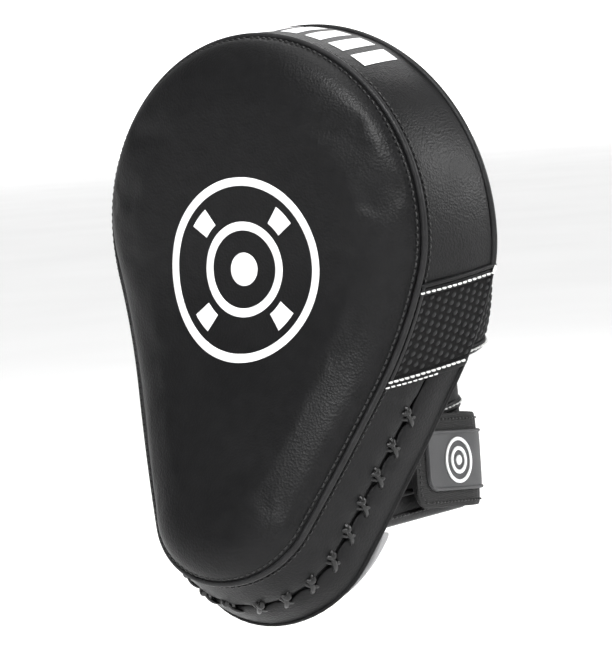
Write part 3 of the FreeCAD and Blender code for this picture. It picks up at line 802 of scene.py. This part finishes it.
def make_lower_gusset():
    slit_end = float(way_at(SLIT_TOP, np.array(LACE_DEPTH)))
    for name, fixed, sign in (("front", FRONT_EDGE, -1), ("rear", REAR_EDGE, 1)):
        rows = []
        top = way_at(MESH_BOTTOM - 0.4 * MM, np.array([fixed, LACE_DEPTH]))
        for share in np.linspace(0, 1, 16):
            reach = top[0] + (top[1] - top[0]) * share
            along = np.linspace(-reach, reach, 281)
            opened = np.clip((slit_end - np.abs(along)) / (6 * MM), 0, 1)
            lip = LACE_DEPTH + sign * MM * opened * (1.1 - 0.75 * pinch(along))
            swell = 1.1 * MM * math.sin(math.pi * share ** 1.5) ** 0.8
            near = share ** 6
            swell = swell + opened * near * (1.1 * MM - 1.5 * MM * pinch(along))
            points = pad_point(along, fixed + (lip - fixed) * share, swell)
            if share == 1:
                points += (pad_point(along, LACE_DEPTH, -2.0 * MM) - pad_point(along, LACE_DEPTH, 0)) * \
                    (opened * 0.5)[:, None]
            rows.append(points)
        grid = np.array(rows)
        normal = unit(grid * np.array([1, 0, 1]) - np.array([0, 0, LOW_HEIGHT[0]]))
        grid += normal * (0.4 * MM * ripple(grid, 38 * MM, 17))[..., None]
        strip = sheet_mesh(f"lower_gusset_{name}_panel", grid, GUSSET_LEATHER, thick=1.8 * MM, flip=sign < 0)
        smooth_over(strip)
        finish_piece(strip, "black_leather", f"lower_gusset_{name}")
    along = np.linspace(-slit_end, slit_end, 200)
    floor = [pad_point(along, LACE_DEPTH + across, -2.6 * MM) for across in np.linspace(-6, 6, 5) * MM]
    tongue = sheet_mesh("slit_tongue", np.array(floor), SOFT_LEATHER, thick=0.8 * MM)
    finish_piece(tongue, "black_leather")


def make_lace():
    """Lace over the slit: at each crossing two strands in an X, with a bright bight at the front hole."""
    # each strand's place at its front and rear end, thickness and height, in millimetres
    strands = ((2.4, -3.0, 1.25, 2.3), (-1.6, 1.6, 1.05, 1.3))
    for number, place in enumerate(CROSSINGS):
        sign = 1 if place >= 0 else -1
        for strand, (front_up, rear_up, size, height) in enumerate(strands):
            share = np.linspace(0, 1, 15)
            depth = LACE_DEPTH + (-4.8 + 10.2 * share) * MM
            along = place + sign * (front_up + (rear_up - front_up) * share) * MM
            lift = (-1.6 + (height + 1.6) * np.sin(math.pi * share) ** 0.45) * MM
            width = size * MM * (0.72 + 0.28 * np.sin(math.pi * share))
            nodes = ["lace_cord"] if number + strand == 0 else []
            pad_cord(f"lace_{number:02d}_{strand}", along, depth, lift, width, LACE, "lace", *nodes, sides=8,
                     flat=0.75)
        share = np.linspace(0, 1, 9)
        along = place + sign * (0.6 + 3.2 * share) * MM
        depth = LACE_DEPTH + (-5.0 + 2.0 * np.sin(math.pi * share)) * MM
        lift = (-0.6 + 2.6 * np.sin(math.pi * share) ** 0.6) * MM
        width = 1.55 * MM * (0.55 + 0.45 * np.sin(math.pi * share))
        pad_cord(f"lace_bight_{number:02d}", along, depth, lift, width, LACE, "lace", sides=8)


def make_rear_piping():
    depth = -1.5 * MM
    start = float(way_at(MESH_TOP - 0.8 * MM, np.array(depth)))
    along = np.concatenate([-np.linspace(start, HALF_ROUND, 120), np.linspace(HALF_ROUND, start, 120)[1:]])
    pad_cord("rear_piping_cord", along, depth, 0.4 * MM, 1.4 * MM, TRIM_LEATHER, "black_trim", "rear_piping")
    for side, word in ((1, "right"), (-1, "left")):
        way = side * (start + np.linspace(-1.5, 1.5, 5) * MM)
        pad_cord(f"piping_tack_{word}", way, depth, 1.6 * MM, 0.7 * MM, WHITE_THREAD, "emblem_white")


# Back of the pad


def make_back_panel():
    along = np.linspace(-HALF_ROUND, HALF_ROUND, 161)[:-1]
    rows = []
    for share in np.linspace(0, 1, 18) ** 1.6:
        rise = 1.6 * MM * (1 - (1 - min(share * 9, 1)) ** 2) ** 0.5
        rows.append(pad_point(along, -1.6 * MM + rise, -0.5 * MM, 1 - share))
    back = sheet_mesh("back_panel_suede", np.array(rows), GREY_SUEDE, around=True, flip=True)
    smooth_over(back)
    finish_piece(back, "grey_suede", "back_panel")
    pad_cord("back_binding", along, -0.7 * MM, -0.2 * MM, 1.1 * MM, SOFT_LEATHER, "black_trim", closed=True)


def make_heel_pad():
    top = CUFF_BOTTOM - 0.9 * MM
    rim = pad_point(np.linspace(0, HALF_ROUND * 0.45, 200), 0, -0.6 * MM)
    half = float(np.interp(top, rim[:, 2], rim[:, 0]))
    rows = []
    for up in np.linspace(0, 1, 25):
        x = half * np.sin(np.linspace(-1, 1, 49) * math.pi / 2)
        arc = np.interp(np.abs(x), rim[:, 0], rim[:, 2])
        z = top + (arc - top) * up
        edge = np.minimum(np.minimum((top - z), (z - arc)) / (6 * MM), 1)
        edge = np.minimum(np.clip(edge, 0, 1), np.clip((half - np.abs(x)) / (6 * MM), 0, 1))
        rise = 11.5 * MM * (1 - (1 - edge) ** 2.2) ** (1 / 2.2)
        y = bend(z) + SEWN_LEVEL + rise
        rows.append(np.stack([x, y, z], axis=-1))
    front = np.array(rows)
    pad = sheet_mesh("heel_cushion", front, GREY_SUEDE, flip=True)
    cap_ends(pad)
    puff(pad, lambda p: p[:, 1] < bend(p[:, 2]) + 2 * MM)
    smooth_over(pad)
    finish_piece(pad, "grey_suede", "heel_pad")


BALL_HEIGHT, BALL_SIZE = -34 * MM, (32 * MM, 24 * MM, 20 * MM)


def ball_point(turn, rise, grow=0.0):
    """Point of the palm ball's dome, turn round the Y axis and rise from the back of the pad."""
    centre = np.array([0, float(bend(BALL_HEIGHT)), BALL_HEIGHT])
    parts = np.cos(turn) * np.cos(rise), np.sin(rise), np.sin(turn) * np.cos(rise)
    out = np.stack(np.broadcast_arrays(*parts), axis=-1)
    return centre + out * (np.array(BALL_SIZE) + grow)


def make_palm_ball():
    turn = np.linspace(0, 2 * math.pi, 97)[:-1]
    panels = 6
    seam = np.abs(np.sin(turn * panels / 2))
    rows = []
    for rise in np.linspace(-0.35, math.pi / 2, 30):
        groove = 0.9 * MM * np.exp(-(seam / 0.12) ** 2) * math.cos(max(rise, 0)) ** 0.3
        points = ball_point(turn, rise)
        rows.append(points - groove[:, None] * unit(points - ball_point(0, 0) * [0, 1, 1]))
    ball = sheet_mesh("palm_ball_leather", np.array(rows), GUSSET_LEATHER, around=True, flip=True)
    smooth_over(ball)
    finish_piece(ball, "black_leather", "palm_ball", "palm_ball_cover")
    for panel in range(panels):
        rise = np.linspace(0.15, 1.4, 24)
        for number, offset in enumerate((-0.07, 0.07)):
            angle = 2 * math.pi * panel / panels + offset / np.maximum(np.cos(rise), 0.15)
            path = ball_point(angle, rise)
            normals = unit(ball_point(angle, rise, 1 * MM) - path)
            row = stitches(f"ball_stitches_{panel}_{number}", path, normals, BLACK_THREAD, pitch=2.6 * MM)
            finish_piece(row, "black_trim")


# Hood over the fingers


def hood_row(height, grow, count, turn=None):
    """Row of the hood at a tilted level, from its right edge over the back to its left edge."""
    share = np.linspace(0, 1, count) if turn is None else turn
    y = np.zeros(len(share))
    for _ in range(12):
        z = height + y * HEM_SLOPE
        size = np.sqrt(np.clip(1 - ((z - HOOD_CENTRE) / (HOOD_SIZE[2] + grow)) ** 2, 1e-6, 1))
        wide, deep = (HOOD_SIZE[0] + grow) * size, (HOOD_SIZE[1] + grow) * size
        low = np.arcsin(np.clip((bend(z) + SEWN_LEVEL) / deep, -1, 1))
        angle = low + (math.pi - 2 * low) * share
        y = deep * np.sin(angle)
    return np.stack([wide * np.cos(angle), y, height + y * HEM_SLOPE], axis=-1)


def hood_grid(heights, grow, count):
    return np.array([hood_row(height, grow, count) for height in heights])


HOOD_PEAK = HOOD_CENTRE + HOOD_SIZE[2]


def make_hood():
    share = np.linspace(0, 1, 44)
    heights = MESH_TOP + (HOOD_PEAK - 0.2 * MM - MESH_TOP) * np.sin(share * math.pi / 2)
    points = hood_grid(heights, 0, 90)
    normals = unit(hood_grid(heights, 1 * MM, 90) - points)
    points += normals * (0.5 * MM * ripple(points, 55 * MM, 23))[..., None]
    top = sheet_mesh("hood_leather", points, GUSSET_LEATHER, thick=2.0 * MM)
    smooth_over(top)
    finish_piece(top, "black_leather", "finger_hood")
    heights = np.linspace(MESH_BOTTOM, MESH_TOP, 90)
    points = hood_grid(heights, 0, 420)
    normals = unit(hood_grid(heights, 1 * MM, 420) - points)
    steps = np.linalg.norm(np.diff(points[0], axis=0), axis=1)
    way = np.concatenate([[0], np.cumsum(steps)])
    knots = dots(way[None, :], heights[:, None]) * np.where(heights > MESH_BOTTOM + 5 * MM, 1.0, 0.0)[:, None]
    points += normals * (0.5 * MM * ripple(points, 40 * MM, 29))[..., None]
    band = knot_mesh("hood_mesh_panel", points, normals, knots, 1.5 * MM, flip=False)
    finish_piece(band, "dark_mesh", "hood_mesh")
    heights = np.concatenate([np.linspace(MESH_BOTTOM, MESH_TOP, 12),
                              MESH_TOP + (HOOD_PEAK - 5 * MM - MESH_TOP) * np.sin(share[1:] * math.pi / 2)])
    lining = sheet_mesh("hood_inner_lining", hood_grid(heights, -3.0 * MM, 60), LINING, thick=0.8 * MM)
    finish_piece(lining, "lining", "hood_lining")


def make_hood_trim():
    strip_row = lambda height, lift: hood_row(height, lift, 150)
    stitch_row = lambda height, lift: hood_row(height, lift, 200)
    raised_band("hood_hem_band", strip_row, MESH_BOTTOM - 0.4 * MM, MESH_BOTTOM + 4.6 * MM, 0.3 * MM,
                "black_trim", "hood_hem", sink=0.5)
    thread_row("hood_hem_stitches", stitch_row, MESH_BOTTOM + 2.2 * MM, 1.15 * MM, **BOLD)
    raised_band("hood_joint_band", strip_row, MESH_TOP - 3.6 * MM, MESH_TOP + 0.6 * MM, 0.5 * MM,
                "black_leather", sink=0.5)
    thread_row("hood_joint_stitches", stitch_row, MESH_TOP - 1.6 * MM, 1.3 * MM, **BOLD)
    heights = MESH_BOTTOM + (HOOD_PEAK - 0.4 * MM - MESH_BOTTOM) * np.sin(np.linspace(0, 1, 70) * math.pi / 2)
    right = np.array([hood_row(height, 0.2 * MM, 3, np.array([0.0]))[0] for height in heights])
    left = right * np.array([-1, 1, 1])
    path = np.concatenate([right, left[::-1][1:]])
    normals = unit(path - np.array([0, 0, HOOD_CENTRE])) + np.array([0, 0.4, 0])
    rim = tube("hood_binding", path, normals, 1.4 * MM, SOFT_LEATHER)
    finish_piece(rim, "black_trim")


# Cuff round the wrist

CORNER = CUFF_ROUND * math.pi / 2
HALF_CUFF = CUFF_SIDE + CORNER + CUFF_REAR


def cuff_plan(way, grow):
    """X and Y of the cuff at a distance along it from the middle of its rear, positive on the right."""
    flat, turn, straight = np.abs(way), np.abs(way) - CUFF_SIDE, np.abs(way) - CUFF_SIDE - CORNER
    angle = np.clip(turn / CUFF_ROUND, 0, math.pi / 2)
    x = np.minimum(flat, CUFF_SIDE) + (CUFF_ROUND + grow) * np.sin(angle)
    y = CUFF_REAR - np.clip(straight, 0, None) + (CUFF_ROUND + grow) * np.cos(angle)
    return x * np.sign(way), y


def cuff_point(way, height, grow, slope):
    x, y = cuff_plan(way, grow)
    return np.stack(np.broadcast_arrays(x, y, height + y * slope), axis=-1)


def cuff_slope(height):
    """Tilt of the cuff's levels: none at its lower edge, as much as the hems' from its own hem up."""
    return HEM_SLOPE * min(max((height - CUFF_BOTTOM) / (CUFF_HEM - CUFF_BOTTOM), 0), 1)


def cuff_front(height):
    """Distance along the plan at which the cuff meets the pad's back at a tilted level."""
    y = 0.0
    for _ in range(12):
        y = float(bend(height + y * cuff_slope(height))) + SEWN_LEVEL
    return HALF_CUFF - y


def cuff_grid(heights, grow, count):
    rows = []
    for height, lift in zip(heights, np.broadcast_to(grow, len(heights))):
        way = np.linspace(1, -1, count) * cuff_front(height)
        rows.append(cuff_point(way, height, lift, cuff_slope(height)))
    return np.array(rows)


WINDOW_REAR = -4 * MM
WINDOW = np.array([(-4, -62), (-33, -82.3), (-4, -82.3)]) * MM


def in_window(point):
    """Whether a point of the cuff lies in the open triangle of its right side."""
    if point[0] < 0:
        return False
    inside = True
    for corner, after in zip(WINDOW, np.roll(WINDOW, -1, axis=0)):
        edge, to = after - corner, point[1:] - corner
        inside = inside and edge[0] * to[1] - edge[1] * to[0] > 0
    return inside


def make_cuff():
    heights = np.linspace(CUFF_BOTTOM, CUFF_TOP, 80)
    points = cuff_grid(heights, -0.1 * MM, 260)
    folds = ripple(points * np.array([1, 1, 0.35]), 26 * MM, 31)
    outwards = unit(cuff_grid(heights, 1 * MM, 260) - cuff_grid(heights, 0, 260))
    soft = np.clip((heights - CUFF_HEM) / (10 * MM), 0.15, 1)[:, None]
    points += outwards * (1.1 * MM * (folds - 0.3) * soft)[..., None]
    sleeve = sheet_mesh("cuff_sleeve", points, SOFT_LEATHER, thick=2.2 * MM, keep=lambda p: not in_window(p))
    finish_piece(sleeve, "black_leather", "cuff")
    corners = list(WINDOW) + [WINDOW[0]]
    path = []
    for first, second in zip(corners, corners[1:]):
        for share in np.linspace(0, 1, 12)[:-1]:
            y, z = first + (second - first) * share
            path.append((CUFF_SIDE + CUFF_ROUND - 0.6 * MM, y, z))
    normals = np.tile((1.0, 0.02, 0.01), (len(path), 1))
    edge = tube("window_binding", path, normals, 1.5 * MM, TRIM_LEATHER, closed=True)
    finish_piece(edge, "black_trim")


def make_cuff_trim():
    strip_row = lambda height, lift: cuff_grid([height], lift, 160)[0]
    stitch_row = lambda height, lift: cuff_grid([height], lift, 220)[0]
    raised_band("cuff_hem_band", strip_row, CUFF_HEM - 5 * MM, CUFF_HEM, 0.2 * MM, "black_trim", "cuff_hem",
                thick=1.1 * MM)
    thread_row("cuff_hem_stitches", stitch_row, CUFF_HEM - 2.1 * MM, 1.1 * MM, radius=0.4 * MM)
    raised_band("cuff_low_band", strip_row, CUFF_BOTTOM - 0.4 * MM, CUFF_BOTTOM + 5 * MM, 0.2 * MM,
                "black_trim", "cuff_band", material=TRIM_LEATHER)
    thread_row("cuff_low_stitches", stitch_row, CUFF_BOTTOM + 3.6 * MM, 1.1 * MM, False, radius=0.4 * MM)
    raised_band("cuff_top_band", strip_row, CUFF_TOP - 3 * MM, CUFF_TOP + 0.4 * MM, 0.2 * MM, "black_trim",
                thick=1.1 * MM)


# Strap

STRAP_INNER, STRAP_OUTER = 3.8 * MM, 7.0 * MM
TAB_TIP, TAB_ROUND = -16.5 * MM, 9 * MM
STRAP_MIDDLE, STRAP_HALF = (STRAP_LOW + STRAP_HIGH) / 2, (STRAP_HIGH - STRAP_LOW) / 2
STRAP_END = HALF_CUFF - TAB_TIP
# bodies that the strap joins at each hinge line, and where its bend starts and ends
ROOT_BEND = "mitt", "strap", (-37 * MM, 0, 0), (-29 * MM, 0, 0)
TAB_BEND = "strap", "tab", (29 * MM, 0, 0), (37 * MM, 0, 0)


def band(name, ways, half, inner, outer, material, body, wave=0.0):
    """Closed soft band along the strap, with half its width given at each place along it."""
    middle, thick = (inner + outer) / 2, (outer - inner) / 2
    rows = []
    for k in range(40):
        angle = 2 * math.pi * k / 40
        up = math.copysign(abs(math.cos(angle)) ** 0.35, math.cos(angle))
        out = math.copysign(abs(math.sin(angle)) ** 0.6, math.sin(angle))
        bow = wave * math.cos(angle * 2)
        rows.append(cuff_point(ways, STRAP_MIDDLE + half * up, middle + thick * out + bow, STRAP_SLOPE))
    points = np.array(rows).transpose(1, 0, 2)
    item = sheet_mesh(name, points, material, body, around=True)
    cap_ends(item)
    return item


def rounded_half(distance, full, radius):
    """Half width of a band whose end is rounded, at a distance from that end."""
    inside = np.clip(radius - distance, 0, radius)
    return full - radius + np.sqrt(radius ** 2 - inside ** 2)


def strap_ways(start, end, count, crowding=1.0):
    """Places along the strap, closer together near its first end when crowding is over 1."""
    return start + (end - start) * np.linspace(0, 1, count) ** crowding


def strap_line(ways, edge, lift):
    """Points over the strap's outer side at a distance from its middle, and their outward normals."""
    path, above = (cuff_point(ways, STRAP_MIDDLE + edge, STRAP_OUTER + lift + more, STRAP_SLOPE)
                   for more in (0, 1 * MM))
    return path, unit(above - path)


def make_strap():
    ways = strap_ways(-STRAP_END, 0.0, 90)
    left = band("strap_left", ways, np.full(90, STRAP_HALF), STRAP_INNER, STRAP_OUTER, WEBBING, None)
    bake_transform(left)
    finish_piece(left, "webbing", "strap_root", "wrist_strap")
    ways = strap_ways(STRAP_END, 0.0, 120, 1.8)
    half = rounded_half(STRAP_END - ways, STRAP_HALF, TAB_ROUND)
    right = band("strap_right", ways, half, STRAP_INNER, STRAP_OUTER, WEBBING, None)
    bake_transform(right)
    finish_piece(right, "webbing", "strap_tab")


def strap_thread(name, ways, edge, body, ends=None):
    """Row of stitches along the strap at a distance from its middle."""
    path, normals = strap_line(ways, edge, -0.15 * MM)
    row = stitches(name, path, normals, BLACK_THREAD, body, pitch=2.8 * MM, radius=0.4 * MM)
    if ends:
        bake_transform(row)
    return finish_piece(row, "webbing")


def rounded_corner(end, half, radius, inset, count):
    """Way and height of an arc round the upper corner of a band's end, drawn in by an inset."""
    turn, reach = np.linspace(0, math.pi / 2, count), radius - inset
    return end - radius + reach * np.sin(turn), half - radius + reach * np.cos(turn)


THREAD_INSET = 2.6 * MM


def make_strap_stitches():
    for word, edge in (("top", STRAP_HALF - THREAD_INSET), ("low", THREAD_INSET - STRAP_HALF)):
        ways = np.linspace(3 * MM - STRAP_END, -1 * MM, 200)
        strap_thread(f"strap_left_stitches_{word}", ways, edge, None, ROOT_BEND)
        ways = np.linspace(1 * MM, STRAP_END - TAB_ROUND, 200)
        strap_thread(f"strap_right_stitches_{word}", ways, edge, None, TAB_BEND)
    way, up = rounded_corner(STRAP_END, STRAP_HALF, TAB_ROUND, THREAD_INSET, 20)
    way, edge = np.concatenate([way, way[::-1]]), np.concatenate([up, -up[::-1]])
    strap_thread("tab_tip_stitches", way, edge, "tab")
    for number, way in enumerate((3 * MM - STRAP_END, 20 * MM - STRAP_END)):
        edge = np.linspace(3 * MM - STRAP_HALF, STRAP_HALF - 3 * MM, 60)
        strap_thread(f"root_stitches_{number}", np.full(60, way), edge, "mitt")


PATCH_THICK, PATCH_ROUND, PATCH_BORDER = 1.3 * MM, 7 * MM, 7.8 * MM
PATCH_HALF = STRAP_HALF - PATCH_BORDER
EMBLEM_PLACE = HALF_CUFF - 15.7 * MM


def make_patch():
    start, end = STRAP_END - PATCH_BORDER, CUFF_SIDE + 5 * MM
    ways = strap_ways(start, end, 90, 1.8)
    half = rounded_half(start - ways, PATCH_HALF, PATCH_ROUND)
    plate = band("patch_plate", ways, half, STRAP_OUTER - 0.6 * MM, STRAP_OUTER + PATCH_THICK, PATCH, "tab")
    finish_piece(plate, "patch_rubber", "strap_patch")
    inset = 0.8 * MM
    corner, corner_up = rounded_corner(start, PATCH_HALF, PATCH_ROUND, inset, 14)
    side = np.linspace(end + inset, start - PATCH_ROUND, 60)
    way = np.concatenate([side, corner[1:], corner[::-1], side[::-1][1:]])
    edge = PATCH_HALF - inset
    up = np.concatenate([np.full(60, edge), corner_up[1:], -corner_up[::-1], np.full(59, -edge)])
    path, normals = strap_line(way, up, PATCH_THICK + 0.05 * MM)
    rim = tube("patch_rim", path, normals, 0.7 * MM, PATCH, "tab", closed=True, flat=0.7)
    finish_piece(rim, "patch_rubber")


def ring_print(name, inner, outer, place, thick, body="mitt", start=0.0, end=2 * math.pi, nodes=()):
    """Printed ring or part of a ring; place turns flat positions into points."""
    angles = np.linspace(start, end, max(int((end - start) * outer / (0.8 * MM)), 8))
    steps = max(int((outer - inner) / (0.9 * MM)), 2)
    rows = []
    for radius in np.linspace(inner, outer, steps + 1):
        rows.append(place(radius * np.cos(angles), radius * np.sin(angles)))
    item = thicken(sheet_mesh(name, np.array(rows), WHITE_PRINT, body), thick, 0)
    return finish_piece(item, "emblem_white", *nodes)


def on_patch(across, up):
    lift = STRAP_OUTER + PATCH_THICK + 0.25 * MM
    return cuff_point(EMBLEM_PLACE - across, STRAP_MIDDLE + up, lift, STRAP_SLOPE)


def make_emblem():
    for name, inner, outer, nodes in (("emblem_ring", 9.1, 10.7, ["patch_emblem"]),
                                      ("emblem_inner_ring", 4.6, 6.4, []), ("emblem_dot", 0.05, 2.3, [])):
        ring_print(name, inner * MM, outer * MM, on_patch, 0.5 * MM, "tab", nodes=nodes)


def make_hook_and_loop():
    ways = strap_ways(HALF_CUFF - WINDOW_REAR, HALF_CUFF - CUFF_REAR, 60)
    for name, node, inner, outer, body in (("hook_face", "hook_pad", 2.3 * MM, STRAP_INNER + 0.3 * MM, "tab"),
                                           ("loop_face", "loop_pad", -0.2 * MM, 1.5 * MM, "mitt")):
        pad = band(name, ways, np.full(60, PATCH_HALF), inner, outer, HOOK_LOOP, body)
        finish_piece(pad, "hook_loop", node)


# Prints

TARGET_HEIGHT, PRINT_LIFT, PRINT_THICK = 24.8 * MM, 0.16 * MM, 0.12 * MM
BAR_PITCH, BAR_HALF = 14.5 * MM, 4.5 * MM


def make_target(face):
    """Plain target: two rings, a centre dot and four short bars between the rings."""
    tree = surface(face)

    def on_face(across, up):
        flat = np.stack([across, np.full(across.shape, SEAM), up + TARGET_HEIGHT], axis=-1)
        return drop(tree, flat, (0, 1, 0), PRINT_LIFT)

    for name, inner, outer in (("target_ring", 37.6, 41.5), ("target_inner_ring", 17.5, 21.5),
                               ("target_dot", 0.05, 7.5)):
        ring_print(name, inner * MM, outer * MM, on_face, PRINT_THICK)
    for number in range(4):
        middle, half = math.pi / 4 + number * math.pi / 2, math.radians(9)
        ring_print(f"target_bar_{number}", 25 * MM, 34 * MM, on_face, PRINT_THICK, start=middle - half,
                   end=middle + half)


def make_gusset_bars(gusset):
    """Row of plain bars over the top of the mitt."""
    tree = surface(gusset)
    depth = np.linspace(-33, -9, 28) * MM
    for number in range(-2, 5):
        place = number * BAR_PITCH
        rows = []
        for angle in (place + np.linspace(-BAR_HALF, BAR_HALF, 12)) / TOP_RADIUS[1]:
            x, z = TOP_RADIUS[1] * math.sin(angle), TOP_HEIGHT[0] + TOP_RADIUS[1] * math.cos(angle)
            rows.append(np.stack([np.full(28, x), depth, np.full(28, z)], axis=-1))
        turn = place / TOP_RADIUS[1]
        points = drop(tree, rows, (-math.sin(turn), 0, -math.cos(turn)), PRINT_LIFT)
        bar = sheet_mesh(f"top_bar_{number + 2}", points, WHITE_PRINT)
        finish_piece(thicken(bar, PRINT_THICK, 0), "emblem_white")


make_camera()
make_studio()
face = make_face()
make_piping()
gusset = make_upper_gusset()
make_mesh_gusset(1, "right")
make_mesh_gusset(-1, "left")
make_lower_gusset()
make_lace()
make_rear_piping()
make_back_panel()
make_heel_pad()
make_palm_ball()
make_hood()
make_hood_trim()
make_cuff()
make_cuff_trim()
make_strap()
make_strap_stitches()
make_patch()
make_emblem()
make_hook_and_loop()
make_target(face)
make_gusset_bars(gusset)
